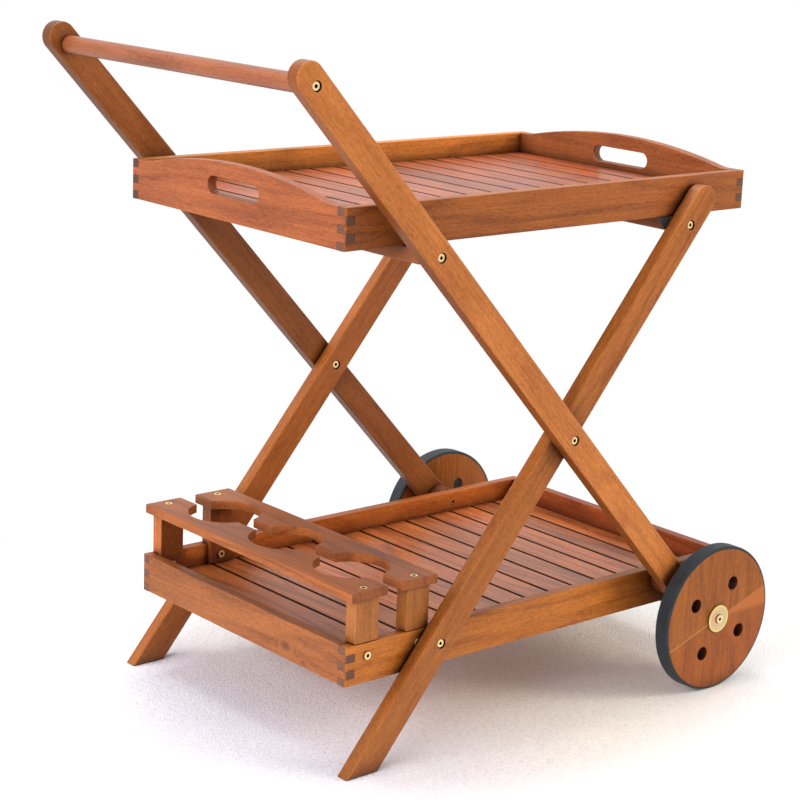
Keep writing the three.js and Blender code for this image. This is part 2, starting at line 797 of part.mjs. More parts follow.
// The floor point under the middle of the cart is the origin.
const handle_leg_end = alongLeg(handle_leg_up, handle_leg_rise - leg_width / 2).x - leg_width / 2;
const wheel_end = Math.max(axle_reach + wheel_radius, lower_tray_offset + tray_length / 2);
cart.position.x = -(handle_leg_end + wheel_end) / 2;

export default cart;
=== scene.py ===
import math
import random

import bmesh
import bpy
from mathutils import Matrix, Vector


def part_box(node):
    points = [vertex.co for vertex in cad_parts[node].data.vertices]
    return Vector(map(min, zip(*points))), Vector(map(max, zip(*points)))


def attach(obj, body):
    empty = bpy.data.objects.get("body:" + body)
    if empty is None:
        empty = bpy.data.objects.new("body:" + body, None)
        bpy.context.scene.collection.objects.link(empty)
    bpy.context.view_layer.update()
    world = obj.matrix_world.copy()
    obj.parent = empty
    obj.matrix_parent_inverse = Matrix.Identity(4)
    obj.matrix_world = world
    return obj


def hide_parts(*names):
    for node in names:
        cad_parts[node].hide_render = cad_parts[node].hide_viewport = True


# A two-tier bar cart in oiled hardwood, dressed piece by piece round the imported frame.
# Metres, +Z up. +X points from the push bar to the wheels, -Y is the near side.
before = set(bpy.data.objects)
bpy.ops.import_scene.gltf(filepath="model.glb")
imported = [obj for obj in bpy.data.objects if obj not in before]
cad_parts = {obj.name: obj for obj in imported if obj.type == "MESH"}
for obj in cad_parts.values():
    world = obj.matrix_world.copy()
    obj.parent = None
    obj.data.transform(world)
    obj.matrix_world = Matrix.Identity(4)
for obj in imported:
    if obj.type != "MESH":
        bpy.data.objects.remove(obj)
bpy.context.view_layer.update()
scene = bpy.context.scene


# The camera stands in front of the handle end on the near side, a little above the push bar.
# Its place, heading, tilt and roll are those the photograph was taken with.
camera_place = Vector((-1.8252, -2.0710, 1.0800))
camera_heading = math.radians(48.955)
camera_tilt = math.radians(-14.216)
camera_roll = math.radians(2.360)
camera_lens = 97.1
sensor_width = 36
quarter = math.pi / 2


def linked(name, data):
    """A new object in the scene."""
    piece = bpy.data.objects.new(name, data)
    scene.collection.objects.link(piece)
    return piece


turns = ((camera_heading - quarter, "Z"), (camera_tilt + quarter, "X"), (camera_roll, "Z"))
heading, tilt, roll = (Matrix.Rotation(turn, 4, axis) for turn, axis in turns)
camera = linked("camera", bpy.data.cameras.new("camera"))
camera.data.lens = camera_lens
camera.data.sensor_width = sensor_width
camera.matrix_world = Matrix.Translation(camera_place) @ heading @ tilt @ roll
scene.camera = camera
scene.view_settings.view_transform = "Standard"


# The studio: a warm soft box on the right, a cool one on the left, a broad one overhead and an
# even pale surround. The floor is a pale embossed sheet that runs out into plain white; near the
# cart it carries painted shade: a lavender tint on the left, a warm one on the right, and dark ridges.
class Wire:
    """A node's output. Sums and products of wires are made as further nodes."""

    def __init__(self, socket):
        self.socket = socket
        self.tree = socket.id_data

    def __add__(self, other):
        return maths("ADD", self, other)

    def __sub__(self, other):
        return maths("SUBTRACT", self, other)

    def __rsub__(self, other):
        return maths("SUBTRACT", other, self)

    def __mul__(self, other):
        return maths("MULTIPLY", self, other)

    def __truediv__(self, other):
        return maths("DIVIDE", self, other)


def feed(node, feeds):
    """Feeds a node's inputs, each with a wire or with a plain value."""
    for key, value in dict(feeds).items():
        if isinstance(value, Wire):
            node.id_data.links.new(value.socket, node.inputs[key])
        else:
            node.inputs[key].default_value = value


def add_node(tree, kind, feeds=(), **settings):
    node = tree.nodes.new(kind)
    for name, value in settings.items():
        setattr(node, name, value)
    feed(node, feeds)
    return node


def wired(tree, kind, feeds=(), output=0, **settings):
    """The wire that leads out of a new node."""
    return Wire(add_node(tree, kind, feeds, **settings).outputs[output])


def maths(operation, *values):
    wire = next(value for value in values if isinstance(value, Wire))
    kind = "ShaderNodeVectorMath" if wire.socket.type == "VECTOR" else "ShaderNodeMath"
    return wired(wire.tree, kind, enumerate(values), operation=operation)


def length(place):
    return wired(place.tree, "ShaderNodeVectorMath", {0: place}, "Value", operation="LENGTH")


def part(place, axis):
    """A place's X, Y or Z."""
    return wired(place.tree, "ShaderNodeSeparateXYZ", {0: place}, axis)


def noise(place, detail=2, scale=1.0, distortion=0.0):
    feeds = {"Vector": place, "Scale": scale, "Detail": detail, "Distortion": distortion}
    return wired(place.tree, "ShaderNodeTexNoise", feeds, "Fac")


def ranged(wire, low, high, to_low=0.0, to_high=1.0, ease="LINEAR"):
    """A wire's values from low to high, brought to another range and held there."""
    feeds = {"Value": wire, "From Min": low, "From Max": high, "To Min": to_low, "To Max": to_high}
    return wired(wire.tree, "ShaderNodeMapRange", feeds, "Result", interpolation_type=ease)


def mixed(share, first, second, blend="MIX"):
    """The first colour where the share is nought, the second where it is one."""
    tree = next(value.tree for value in (share, first, second) if isinstance(value, Wire))
    feeds = {0: share, 6: first, 7: second}
    return wired(tree, "ShaderNodeMix", feeds, 2, data_type="RGBA", blend_type=blend)


def dyed(colour, dye):
    return mixed(1.0, colour, dye, "MULTIPLY")


def tone(red, green, blue):
    """A colour given by its screen values, 0 to 255."""
    def linear(value):
        share = value / 255
        return share / 12.92 if share <= 0.04045 else ((share + 0.055) / 1.055) ** 2.4
    return (linear(red), linear(green), linear(blue), 1.0)


def blank_material(name):
    """A new material, its surface, and the place on the piece in metres."""
    material = bpy.data.materials.new(name)
    material.use_nodes = True
    tree = material.node_tree
    tree.nodes.clear()
    surface = add_node(tree, "ShaderNodeBsdfPrincipled")
    add_node(tree, "ShaderNodeOutputMaterial", {"Surface": Wire(surface.outputs[0])})
    return material, surface, wired(tree, "ShaderNodeTexCoord", output="Object")


def bumped(surface, height, distance, strength):
    feeds = {"Height": height, "Distance": distance, "Strength": strength}
    feed(surface, {"Normal": wired(height.tree, "ShaderNodeBump", feeds)})


def seen_directly(tree):
    """One for rays that come straight from the camera, or by way of gloss or clear glass."""
    path = add_node(tree, "ShaderNodeLightPath").outputs
    straight, glossy, clear = (Wire(path[f"Is {ray} Ray"]) for ray in ("Camera", "Glossy", "Transmission"))
    return maths("MAXIMUM", maths("MAXIMUM", straight, glossy), clear)


surround_strength = 0.60
world = bpy.data.worlds.new("surround")
scene.world = world
world.use_nodes = True
tree = world.node_tree
tree.nodes.clear()
shining = ranged(seen_directly(tree), 0, 1, surround_strength, 1.0)
backdrop = wired(tree, "ShaderNodeBackground", {"Color": (1, 1, 1, 1), "Strength": shining})
add_node(tree, "ShaderNodeOutputWorld", {"Surface": backdrop})

lit_middle = Vector((0, 0, 0.4))


def soft_box(name, place, width, depth, power, colour=(1, 1, 1), mirrored=True):
    """A soft box turned to the cart. One that isn't mirrored leaves no glare on the wood."""
    light = bpy.data.lights.new(name, "AREA")
    light.color = colour
    light.shape = "RECTANGLE"
    light.size = width
    light.size_y = depth
    light.energy = power
    lamp = linked(name, light)
    lamp.location = place
    lamp.visible_glossy = mirrored
    lamp.rotation_euler = (lit_middle - Vector(place)).to_track_quat("-Z", "Y").to_euler()


soft_box("overhead_box", (0.0, 0.5, 2.7), 1.5, 1.4, 54)
soft_box("right_box", (1.9, -1.9, 1.3), 1.0, 1.0, 46, (1.0, 0.94, 0.85), False)
soft_box("left_box", (-2.5, -0.5, 0.95), 2.0, 1.6, 84, (0.95, 0.93, 1.0), False)

floor_half = 6.0
tinted_to = 0.34
white_from = 0.46
white_to = 0.80
tint_from = -0.3
tint_to = 0.1
ridge_height = 0.0010
floor_mesh = bpy.data.meshes.new("floor")
floor_corners = [(x * floor_half, y * floor_half, 0) for x, y in ((-1, -1), (1, -1), (1, 1), (-1, 1))]
floor_mesh.from_pydata(floor_corners, [], [(0, 1, 2, 3)])
floor = linked("floor", floor_mesh)

floor_material, surface, place = blank_material("embossed_sheet")
# Painted shade colour near the cart: lavender towards -X, warm towards +X.
painted_shadow_tint = ranged(part(place, "X"), tint_from, tint_to, ease="SMOOTHSTEP")
shaded = mixed(painted_shadow_tint, tone(250, 248, 255), tone(255, 249, 238))
crumpled = noise(place, detail=1, scale=300, distortion=1.5)
ridges = maths("PINGPONG", crumpled * 3.0, 1.0)
bumped(surface, ridges, ridge_height, 1.0)
# Painted shade on the embossing's ridges.
shaded = mixed(ranged(ridges, 0.5, 1.0, 0.0, 0.25), shaded, tone(120, 112, 116))
reach = length(place)
sheet = mixed(ranged(reach, tinted_to, white_from), shaded, tone(255, 255, 255))
fade = ranged(reach, white_from, white_to, ease="SMOOTHSTEP")
direct = seen_directly(place.tree)
dimmed = mixed(fade * (1.0 - direct), sheet, tone(150, 148, 146))
feed(surface, {"Base Color": dimmed, "Roughness": 0.7})
white = wired(place.tree, "ShaderNodeEmission", {"Color": (1, 1, 1, 1), "Strength": 1.0})
feeds = {0: fade * direct, 1: Wire(surface.outputs[0]), 2: white}
feed(place.tree.nodes["Material Output"], {"Surface": wired(place.tree, "ShaderNodeMixShader", feeds)})
floor_mesh.materials.append(floor_material)


# The legs: 38 by 19 mm planed hardwood, arrises rounded to 2 mm, round at the top. On each side
# the long handle leg lies outside the short one, and a bolt sunk in a counterbore joins them.
leg_width = 0.038
leg_arris = 0.002
round_steps = 28
fit_gap = 0.0003
counterbore_radius = 0.0064
counterbore_depth = 0.0048
smooth_below = math.radians(32)
foot_shade_height = 0.4
sides = (("near", -1), ("far", 1))


def middle(node):
    low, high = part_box(node)
    return (low + high) / 2


def half_width(node):
    """Half of a node's size across the cart, along Y."""
    low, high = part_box(node)
    return (high.y - low.y) / 2


def half_height(node):
    low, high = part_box(node)
    return (high.z - low.z) / 2


def face_at(node, side):
    """Where a node's face lies on one side of it, along Y."""
    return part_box(node)[side > 0].y


def flat(point):
    """A point's place in the side view, X and Z."""
    return Vector((point.x, point.z))


def arc(centre, radius, start, stop, steps=round_steps):
    """Points along an arc, with angles in radians."""
    turns = [start + (stop - start) * step / steps for step in range(steps + 1)]
    return [Vector((centre[0] + radius * math.cos(t), centre[1] + radius * math.sin(t))) for t in turns]


def axes(across):
    """The two axes of a side view, then the one that lies across it."""
    depth = "xyz".index(across)
    return *(axis for axis in range(3) if axis != depth), depth


def cast(name, shape):
    """The object of a finished shape, its faces turned outwards."""
    bmesh.ops.recalc_face_normals(shape, faces=shape.faces)
    mesh = bpy.data.meshes.new(name)
    shape.to_mesh(mesh)
    shape.free()
    return linked(name, mesh)


def sawn(name, outline, across, low, high):
    """A piece sawn to an outline, from low to high along the axis across it."""
    first, second, depth = axes(across)
    shape = bmesh.new()
    rings = []
    for level in (low, high):
        ring = []
        for point in outline:
            corner = [0.0, 0.0, 0.0]
            corner[first], corner[second], corner[depth] = point[0], point[1], level
            ring.append(shape.verts.new(corner))
        rings.append(ring)
        shape.faces.new(ring)
    for index in range(len(outline)):
        after = (index + 1) % len(outline)
        shape.faces.new((rings[0][index], rings[0][after], rings[1][after], rings[1][index]))
    return cast(name, shape)


def turned(name, profile, centre, steps=72, across="y"):
    """A round piece turned about a line through centre, from a closed outline of (radius, place)."""
    first, second, depth = axes(across)
    shape = bmesh.new()
    poles = {}
    columns = []
    for step in range(steps):
        angle = 2 * math.pi * step / steps
        column = []
        for index, (radius, level) in enumerate(profile):
            if radius == 0 and index in poles:
                column.append(poles[index])
                continue
            corner = Vector(centre)
            corner[first] += radius * math.cos(angle)
            corner[second] += radius * math.sin(angle)
            corner[depth] += level
            column.append(shape.verts.new(corner))
            if radius == 0:
                poles[index] = column[-1]
        columns.append(column)
    for step in range(steps):
        here, beside = columns[step], columns[(step + 1) % steps]
        for index in range(len(profile)):
            after = (index + 1) % len(profile)
            corners = list(dict.fromkeys((here[index], here[after], beside[after], beside[index])))
            if len(corners) > 2:
                shape.faces.new(corners)
    return cast(name, shape)


def settled(piece):
    """The piece with its modifiers made part of its mesh."""
    view = bpy.context.evaluated_depsgraph_get()
    mesh = bpy.data.meshes.new_from_object(piece.evaluated_get(view))
    piece.modifiers.clear()
    piece.data = mesh
    return piece


def eased(piece, width, steps=3):
    """The piece with its sharp arrises rounded."""
    rounding = piece.modifiers.new("arris", "BEVEL")
    rounding.width = width
    rounding.segments = steps
    rounding.limit_method = "ANGLE"
    rounding.angle_limit = math.radians(35)
    return settled(piece)


def shaped(piece, tool, operation="DIFFERENCE"):
    """The piece cut by a tool, or kept only where the tool is."""
    cut = piece.modifiers.new("cut", "BOOLEAN")
    cut.object = tool
    cut.operation = operation
    cut.solver = "EXACT"
    settled(piece)
    bpy.data.objects.remove(tool)
    return piece


def bored(piece, point, radius, low, high, across="y"):
    centre = Vector((point.x, 0, point.y)) if across == "y" else Vector((point.x, point.y, 0))
    profile = [(0, low), (radius, low), (radius, high), (0, high)]
    shaped(piece, turned("bore", profile, centre, 48, across))


def counterbored(piece, bolts, face):
    """Sinks a round recess for each bolt's head into one face."""
    for bolt in bolts:
        centre = flat(middle(bolt))
        bored(piece, centre, counterbore_radius, face - counterbore_depth, face + counterbore_depth)


def finished(piece, body, slot, material, *replaced):
    """Shades the piece smooth between its sharp edges, and fixes it to its body."""
    shape = bmesh.new()
    shape.from_mesh(piece.data)
    for edge in shape.edges:
        edge.smooth = len(edge.link_faces) == 2 and edge.calc_face_angle() < smooth_below
    for face in shape.faces:
        face.smooth = True
    shape.to_mesh(piece.data)
    shape.free()
    piece.modifiers.new("weighting", "WEIGHTED_NORMAL").keep_sharp = True
    settled(piece)
    if not piece.data.materials:
        piece.data.materials.append(material)
    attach(piece, body)
    if replaced:
        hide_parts(*replaced)


# Painted shade dyed onto the narrow edges of legs, boards and posts.
edge_shade_dye = (0.36, 0.30, 0.23, 1.0)
# Painted shade in nooks and between parts, read from ambient occlusion: each a reach and how dark.
painted_nook_shades = ((0.04, 0.18), (0.012, 0.35))


def new_tree(name, kind, inputs, outputs):
    """A node group with named inputs and outputs, and the wires that its inputs bring."""
    tree = bpy.data.node_groups.new(name, kind)
    for way, sockets in (("INPUT", inputs), ("OUTPUT", outputs)):
        for socket_name, socket_kind, *values in sockets:
            made = tree.interface.new_socket(socket_name, in_out=way, socket_type="NodeSocket" + socket_kind)
            for value in values:
                made.default_value = value
    given = add_node(tree, "NodeGroupInput").outputs
    return tree, {socket.name: Wire(socket) for socket in given}


def noted(tree, name):
    """A share that was noted on the faces of a piece."""
    return wired(tree, "ShaderNodeAttribute", output="Fac", attribute_name=name)


def hardwood_figure():
    """The grain of the oiled hardwood, for a place whose X runs along the grain, in metres, with painted
    shade on narrow edges, in bores and gaps, and in nooks.
    """
    inputs = (("Place", "Vector"), ("Light", "Color"), ("Dark", "Color"), ("Lines", "Float"))
    outputs = (("Colour", "Color"), ("Roughness", "Float"), ("Height", "Float"))
    tree, given = new_tree("hardwood_figure", "ShaderNodeTree", inputs, outputs)
    place = given["Place"]
    clouds = ranged(noise(place * (9, 30, 30)), 0.3, 0.7)
    streaks = ranged(noise(place * (10, 300, 300), detail=3), 0.3, 0.7)
    flecks = ranged(noise(place * (190, 620, 620), detail=1), 0.3, 0.7)
    fibres = noise(place * (90, 800, 800), detail=3)
    open_pores = ranged(noise(place * (150, 900, 900), detail=1), 0.6, 0.75, 0.0, 0.45)
    growth = noise(place * (1.6, 15, 15), detail=1, distortion=0.4)
    late_wood = ranged(maths("PINGPONG", growth * 15, 1.0), 0.45, 1.0, 0.0, 0.55, "SMOOTHSTEP")
    share = clouds * 0.30 + streaks * 0.30 + ranged(fibres, 0.3, 0.7, -0.08, 0.30) + flecks * 0.28
    share = share - late_wood * given["Lines"]
    share = maths("MAXIMUM", maths("MINIMUM", share, 1.0), 0.0)
    colour = mixed(share, given["Dark"], given["Light"])
    colour = mixed(open_pores, colour, tone(88, 44, 24))
    # Painted shade on the narrow edges.
    colour = mixed(noted(tree, "edge_grain"), colour, dyed(colour, edge_shade_dye))
    specks = ranged(noise(place * (300, 900, 900)), 0.35, 0.7)
    end_tone = mixed(specks, tone(112, 76, 60), tone(66, 42, 34))
    colour = mixed(noted(tree, "cut_end"), colour, end_tone)
    # Painted shade inside bores and in the gaps between slats.
    colour = mixed(noted(tree, "bore"), colour, tone(62, 30, 18))
    # Painted shade where ambient occlusion finds nooks.
    for distance, depth in painted_nook_shades:
        nook = wired(tree, "ShaderNodeAmbientOcclusion", {"Distance": distance}, "AO", samples=6)
        deep = dyed(colour, (depth, depth * 0.75, depth * 0.65, 1.0))
        colour = mixed(ranged(nook, 0.28, 0.86), deep, colour)
    rough = ranged(fibres, 0.3, 0.7, 0.36, 0.5)
    add_node(tree, "NodeGroupOutput", {"Colour": colour, "Roughness": rough, "Height": fibres - open_pores})
    return tree


figure = hardwood_figure()


def mapped(place, turn=(0, 0, 0), shift=(0, 0, 0)):
    feeds = {"Vector": place, "Rotation": turn, "Location": shift}
    return wired(place.tree, "ShaderNodeMapping", feeds)


def grain_place(place, name, grain):
    """Places turned so that the grain runs along X, and shifted by chance for each piece."""
    chance = random.Random(name)
    turn = Vector(grain).rotation_difference(Vector((1, 0, 0))).to_euler()
    shift = [chance.uniform(-3, 3), chance.uniform(0.03, 0.12), chance.uniform(0.03, 0.12)]
    return mapped(place, turn, shift)


def figured(surface, place, light, dark, lines):
    """Lays the hardwood's figure on a surface, and brings its colour."""
    feeds = {"Place": place, "Light": light, "Dark": dark, "Lines": lines}
    wood = add_node(place.tree, "ShaderNodeGroup", feeds, node_tree=figure).outputs
    feed(surface, {"Roughness": Wire(wood["Roughness"]), "Specular IOR Level": 0.3})
    bumped(surface, Wire(wood["Height"]), 0.0004, 0.4)
    return Wire(wood["Colour"])


def mark_faces(piece, name, share_of):
    """Notes a share for each face, for the wood's colour to read."""
    shares = piece.data.attributes.new(name, "FLOAT", "FACE")
    for face in piece.data.polygons:
        shares.data[face.index].value = share_of(face)


def mark_cut_ends(piece, grain, darkness, inside=0.0):
    """Notes how squarely each face cuts across the grain, where the oil soaks in darker."""
    way = Vector(grain).normalized()
    corners = [vertex.co for vertex in piece.data.vertices]
    centre = sum(corners, Vector()) / len(corners)

    def share(face):
        squareness = (abs(face.normal.dot(way)) - 0.75) / 0.23
        outside = abs((face.center - centre).dot(way)) > inside
        return darkness * min(max(squareness, 0), 1) * outside

    mark_faces(piece, "cut_end", share)


def mark_edges(piece, share, across="y"):
    """Notes how far each face belongs to the narrow edges of a board, where painted shade darkens the wood.
    """
    depth = axes(across)[2]
    mark_faces(piece, "edge_grain", lambda face: share * (1 - abs(face.normal[depth])))


def mark_bores(piece, points, radius, across="y", share=1.0):
    """Notes the faces inside round bores, which get painted shade."""
    first, second, _ = axes(across)

    def inside(face):
        corners = [piece.data.vertices[index].co for index in face.vertices]
        corners = [Vector((corner[first], corner[second])) for corner in corners]
        return any(all((corner - point).length < radius * 1.03 for corner in corners) for point in points)

    mark_faces(piece, "bore", lambda face: share * inside(face))


def vector(tree, x=0.0, y=0.0, z=0.0):
    return wired(tree, "ShaderNodeCombineXYZ", {"X": x, "Y": y, "Z": z})


def knot_share(place, centre, size):
    """One at a knot's centre, falling off round it; the knot is longer along Y than up."""
    distance = length((place - centre) * (0.0, 0.6 / size, 1.0 / size))
    return maths("EXPONENT", maths("POWER", distance, 2.0) * -1.0)


def coated(surface, weight):
    feed(surface, {"Coat Weight": weight, "Coat Roughness": 0.25})


def wooden(piece, grain, body, slot, light, dark, lines, *replaced, darkness=0.3, inside=0.0, knots=(),
           painted_shade=None, coat=None):
    """Finishes a piece in oiled hardwood with its own stretch of grain, and any painted shade along one
    axis.
    """
    material, surface, place = blank_material(piece.name.replace("wood", "oiled"))
    grained = grain_place(place, piece.name, grain)
    core = 0.0
    for centre, size in knots:
        near = knot_share(place, centre, size)
        grained = grained + vector(place.tree, y=near * 0.05)
        core = maths("MAXIMUM", core, ranged(near, 0.3, 0.9, 0.0, 0.7))
    colour = figured(surface, grained, light, dark, lines)
    if knots:
        colour = mixed(core, colour, tone(80, 46, 32))
    if painted_shade:
        # Painted shade: the wood is dyed darker towards one end of a stretch along an axis.
        axis, deepest, clear, share = painted_shade
        deeper = dyed(colour, (share, share, share, 1.0))
        colour = mixed(ranged(part(place, axis), deepest, clear), deeper, colour)
    if coat:
        coated(surface, coat)
    feed(surface, {"Base Color": colour})
    mark_cut_ends(piece, grain, darkness, inside)
    finished(piece, body, slot, material, *replaced)


# For each leg: its light and dark tone, how much painted shade darkens its narrow edges, and how much of its
# tone painted shade leaves at its foot.
leg_looks = {
    "handle_leg_near": (tone(215, 133, 65), tone(158, 88, 38), 0.95, None),
    "handle_leg_far": (tone(152, 90, 42), tone(107, 54, 19), 0.74, None),
    "short_leg_near": (tone(193, 116, 50), tone(127, 65, 21), 0.36, 0.76),
    "short_leg_far": (tone(177, 104, 48), tone(127, 67, 25), 0.0, 0.85),
}
pivot = flat(middle("pivot_bolt_near"))
axle_centre = flat(middle("axle"))
axle_radius = half_height("axle")
handle_leg_up = (pivot - axle_centre).normalized()
short_leg_up = (flat(middle("wheel_rail_bolt_near")) - pivot).normalized()


def on_leg(way, height):
    """The point of a leg's middle line at a height."""
    return pivot + way * ((height - pivot.y) / way.y)


def round_end(way, height, turn=0.0):
    """The round top end of a leg about a height, or its bottom end after half a turn."""
    start = math.atan2(-way.x, way.y) + turn
    return arc(on_leg(way, height), leg_width / 2, start, start + math.pi)


for label, side in sides:
    for leg, way in (("handle_leg", handle_leg_up), ("short_leg", short_leg_up)):
        node = f"{leg}_{label}"
        low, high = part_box(node)
        outline = round_end(way, high.z - leg_width / 2)
        if leg == "handle_leg":
            sunk = ["pivot_bolt", "handle_bolt", "handle_rail_bolt", "handle_leg_tray_bolt"]
            outline += round_end(way, low.z + leg_width / 2, math.pi)
        else:
            sunk = ["wheel_rail_bolt", "short_leg_tray_bolt"]
            foot = on_leg(way, 0)
            run = Vector((leg_width / 2 / way.y, 0))
            outline += [foot - run, foot + run]
        piece = eased(sawn(node + "_wood", outline, "y", low.y, high.y), leg_arris, 4)
        bolts = [f"{bolt}_{label}" for bolt in sunk]
        counterbored(piece, bolts, face_at(node, side))
        if leg == "handle_leg":
            bored(piece, axle_centre, axle_radius + fit_gap, low.y - leg_width, high.y + leg_width)
        else:
            counterbored(piece, [f"pivot_bolt_{label}"], face_at(node, -side))
            bolts.append(f"pivot_bolt_{label}")
        # Painted shade in the counterbores.
        mark_bores(piece, [flat(middle(bolt)) for bolt in bolts], counterbore_radius)
        light, dark, edges, foot_shade_share = leg_looks[node]
        # Painted shade, darker towards the foot of the short legs.
        painted_shade = ("Z", 0.0, foot_shade_height, foot_shade_share) if foot_shade_share else None
        # Painted shade on the leg's narrow edges.
        mark_edges(piece, edges)
        wooden(piece, (way.x, 0, way.y), "frame", "leg_wood", light, dark, 0.35, node, darkness=0.1,
               painted_shade=painted_shade)


# The push bar: a round hardwood rod between the handle legs, its ends eased where they meet them.
# The two rails under the serving tray lie flat, planed square with small rounded arrises.
bar_ease = 0.0015
rail_arris = 0.002
crosswise = (0, 1, 0)


def rod(node, name, ease, bore=0, steps=72):
    """A turned rod or ring in the place of a node that lies along Y, its ends eased."""
    radius, reach = half_height(node), half_width(node)
    profile = [(bore, -reach), (radius - ease, -reach), (radius, ease - reach), (radius, reach - ease),
               (radius - ease, reach), (bore, reach)]
    return turned(name, profile, middle(node), steps)


wooden(rod("handle_bar", "handle_bar_wood", bar_ease, steps=64), crosswise, "frame", "leg_wood",
       tone(156, 90, 53), tone(105, 51, 25), 0.4, "handle_bar", coat=0.22)
for node in ("handle_end_rail", "wheel_end_rail"):
    low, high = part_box(node)
    outline = [(low.x, low.z), (high.x, low.z), (high.x, high.z), (low.x, high.z)]
    piece = eased(sawn(node + "_wood", outline, "y", low.y, high.y), rail_arris)
    wooden(piece, crosswise, "frame", "board_wood", tone(145, 83, 41), tone(105, 54, 24), 0.4, node)


# The steel angles under the wheel-end rail, folded from sheet and painted black.
# The paint is slightly grainy and catches a dull shine.
def fine_grained(surface, colour, grain, roughness, distance, strength, metallic=0.0):
    """Gives a surface its colour, and a fine grain that roughens and raises it."""
    rough = ranged(grain, 0.3, 0.7, *roughness)
    feed(surface, {"Base Color": colour, "Roughness": rough, "Metallic": metallic})
    bumped(surface, grain, distance, strength)


paint, surface, place = blank_material("black_paint")
grains = noise(place, scale=900)
fine_grained(surface, mixed(grains, tone(30, 30, 32), tone(52, 52, 55)), grains, (0.38, 0.55), 0.0002, 0.3)
for label, _ in sides:
    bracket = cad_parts[f"rail_bracket_{label}"].data
    bracket.materials.clear()
    bracket.materials.append(paint)


# The brass bolts: flat round heads with a hexagon socket, sunk in the counterbores of the legs
# and of the rack's bars, and a lower head lying on the tray's side boards at the rack posts.
brass, surface, place = blank_material("pale_brass")
brush = noise(place, detail=3, scale=420)
patches = ranged(noise(place, scale=60), 0.35, 0.65)
metal = mixed(patches, tone(250, 230, 153), tone(246, 215, 169))
# Painted shade inside the hexagon socket.
metal = mixed(noted(place.tree, "recess"), metal, tone(44, 26, 14))
fine_grained(surface, metal, brush, (0.22, 0.42), 0.0001, 0.2, metallic=1.0)

one_shape = (("Geometry", "Geometry"),)


def finish_tree(tree, shapes, material):
    """Ends a geometry tree: its shapes joined, made real and given their material."""
    joint = add_node(tree, "GeometryNodeJoinGeometry")
    for shape in shapes:
        feed(joint, {0: shape})
    real = wired(tree, "GeometryNodeRealizeInstances", {"Geometry": Wire(joint.outputs[0])})
    dressed = wired(tree, "GeometryNodeSetMaterial", {"Geometry": real, "Material": material})
    add_node(tree, "NodeGroupOutput", {"Geometry": dressed})
    return tree


def on_points(points, instance, **more):
    feeds = {"Points": points, "Instance": instance, **more}
    return wired(points.tree, "GeometryNodeInstanceOnPoints", feeds)


def note(shape, domain, name, value):
    feeds = {"Geometry": shape, "Name": name, "Value": value}
    return wired(shape.tree, "GeometryNodeStoreNamedAttribute", feeds, data_type="FLOAT", domain=domain)


def bolt_tree():
    """Bolts on the points of a mesh, each turned to the point's outward direction."""
    inputs = (*one_shape, ("Head radius", "Float", 0.0052), ("Head height", "Float", 0.003),
              ("Shank radius", "Float", 0.003), ("Socket radius", "Float", 0.0023),
              ("Socket depth", "Float", 0.002), ("Faces", "Int", 40), ("Metal", "Material"))
    tree, given = new_tree("socket_bolts", "GeometryNodeTree", inputs, one_shape)

    def post(vertices, radius, depth, lift):
        sizes = {"Vertices": vertices, "Radius": radius, "Depth": depth}
        upright = wired(tree, "GeometryNodeMeshCylinder", sizes)
        feeds = {"Geometry": upright, "Translation": vector(tree, z=lift)}
        return wired(tree, "GeometryNodeTransform", feeds)

    height = given["Head height"]
    blank = post(given["Faces"], given["Head radius"], height, height * 0.5)
    socket = post(6, given["Socket radius"], given["Socket depth"] * 2, height)
    head = wired(tree, "GeometryNodeMeshBoolean", {0: blank, 1: socket}, operation="DIFFERENCE",
                 solver="EXACT")
    face = wired(tree, "GeometryNodeInputPosition")
    inside = maths("LESS_THAN", length(face * (1, 1, 0)), given["Socket radius"])
    margin = given["Socket depth"] * 0.1
    under_top = maths("LESS_THAN", part(face, "Z"), height - margin)
    over_seat = maths("GREATER_THAN", part(face, "Z"), margin)
    # Notes the socket's inner faces, for the painted shade in the socket.
    head = note(head, "FACE", "recess", inside * under_top * over_seat)
    outward = wired(tree, "GeometryNodeInputNamedAttribute", {"Name": "outward"}, data_type="FLOAT_VECTOR")
    grip = wired(tree, "GeometryNodeInputNamedAttribute", {"Name": "grip"}, data_type="FLOAT")
    turn = wired(tree, "FunctionNodeAlignRotationToVector", {"Vector": outward}, axis="Z")
    heads = on_points(given["Geometry"], head, Rotation=turn)
    shank = post(24, given["Shank radius"], 1.0, -0.5)
    shanks = on_points(given["Geometry"], shank, Rotation=turn, Scale=vector(tree, 1.0, 1.0, grip))
    return finish_tree(tree, (heads, shanks), given["Metal"])


socket_bolts = bolt_tree()


def grown(piece, tree, sizes):
    """The piece with a geometry tree's result in place of its mesh."""
    growth = piece.modifiers.new("growth", "NODES")
    growth.node_group = tree
    for item in tree.interface.items_tree:
        if item.in_out == "INPUT" and item.name in sizes:
            growth[item.identifier] = sizes[item.name]
    return settled(piece)


def bolt_set(name, seats, *replaced, ease=0.0005, **sizes):
    """Bolts at seats, each a place under the head, a direction out of it and a grip length."""
    mesh = bpy.data.meshes.new(name)
    mesh.from_pydata([place for place, _, _ in seats], [], [])
    mesh.attributes.new("outward", "FLOAT_VECTOR", "POINT")
    mesh.attributes.new("grip", "FLOAT", "POINT")
    for index, (_, direction, grip) in enumerate(seats):
        mesh.attributes["outward"].data[index].vector = direction
        mesh.attributes["grip"].data[index].value = grip
    named = {key.replace("_", " ").capitalize(): value for key, value in sizes.items()}
    piece = grown(linked(name, mesh), socket_bolts, {"Metal": brass, **named})
    finished(eased(piece, ease, 2), "frame", "brass", brass, *replaced)


